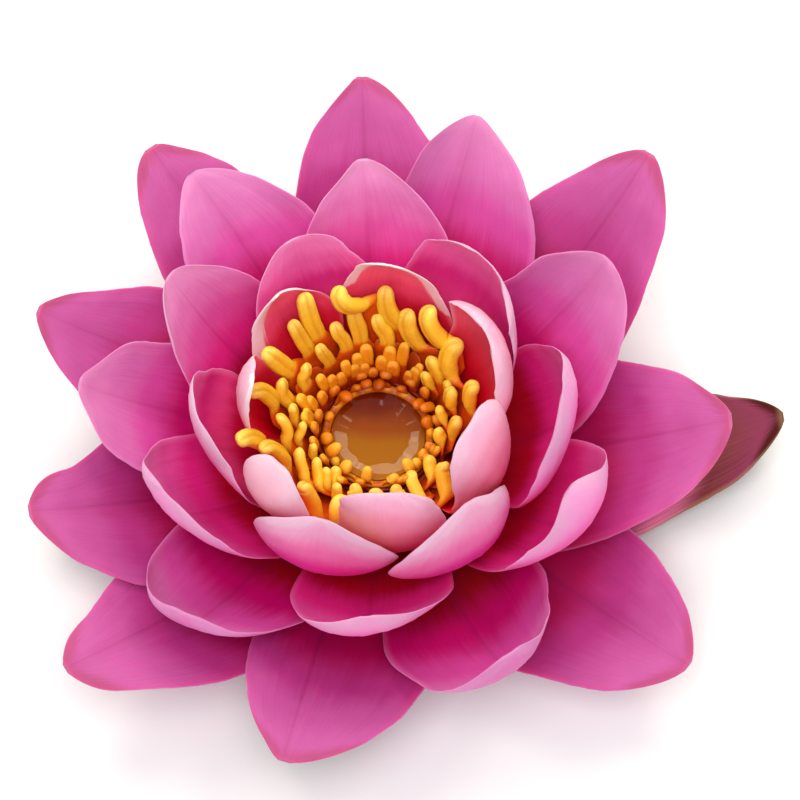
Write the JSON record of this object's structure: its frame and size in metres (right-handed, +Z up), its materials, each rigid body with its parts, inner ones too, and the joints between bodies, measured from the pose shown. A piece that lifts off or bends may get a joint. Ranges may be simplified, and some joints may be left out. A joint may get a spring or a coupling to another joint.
{
  "type": "water lily flower",
  "caption": "Pink many-petalled water lily bloom, picked and resting upright on its sepals and short cut stalk, with golden stamens around a nectar-filled stigma disc.",
  "frame": {"origin": "centre of the bottom of the bounding box, on the surface that the flower rests on", "axes": "+Z up along the flower's own axis (the cup of petals opens upwards), -Y towards the picture's viewer (the bottom of the picture), +X to the picture's right"},
  "size_m": [0.1301, 0.1258, 0.0472],
  "materials": {
    "petal": "soft satin, pale pink on the outer face, darkening to crimson at the foot",
    "petal_inner": "soft satin, nearly white-pink outside, red-pink inside",
    "sepal": "leathery, maroon and olive inside, green-brown outside",
    "stamen": "waxy, yellow anthers on orange filaments",
    "stigma": "waxy yellow rays",
    "nectar": "clear amber liquid, wet gloss",
    "receptacle": "smooth green-brown, paler at the cut"
  },
  "bodies": {
    "root": {"receptacle": "receptacle", "stigma_disc": "stigma", "nectar_pool": "nectar", "stamen_outer_01": "stamen", "stamen_outer_02": "stamen", "stamen_outer_03": "stamen", "stamen_outer_04": "stamen", "stamen_outer_05": "stamen", "stamen_outer_06": "stamen", "stamen_outer_07": "stamen", "stamen_outer_08": "stamen", "stamen_outer_09": "stamen", "stamen_outer_10": "stamen", "stamen_outer_11": "stamen", "stamen_outer_12": "stamen", "stamen_outer_13": "stamen", "stamen_outer_14": "stamen", "stamen_outer_15": "stamen", "stamen_outer_16": "stamen", "stamens_middle": "stamen", "stamens_inner": "stamen", "petal_E5": "petal_inner", "petal_E7": "petal_inner", "petal_E4": "petal_inner", "petal_E3": "petal_inner", "petal_E6": "petal_inner", "petal_E1": "petal_inner", "petal_E2": "petal_inner", "petal_D4": "petal_inner", "petal_D3": "petal_inner", "petal_D5": "petal_inner", "petal_D1": "petal_inner", "petal_D2": "petal_inner", "petal_C6": "petal", "petal_C4": "petal", "petal_C5": "petal", "petal_C3": "petal", "petal_C2": "petal", "petal_B5": "petal", "petal_C1": "petal", "petal_B6": "petal", "petal_B4": "petal", "petal_B3": "petal", "petal_B1": "petal", "petal_B2": "petal", "petal_A6": "petal", "petal_A4": "petal", "petal_A8": "petal", "petal_A1": "petal", "petal_A5": "petal", "petal_A2": "petal", "petal_A3": "petal", "petal_A9": "petal", "petal_A7": "petal", "sepal_S1": "sepal", "sepal_S2": "sepal", "sepal_S3": "sepal", "sepal_S4": "sepal"}
  },
  "joints": []
}
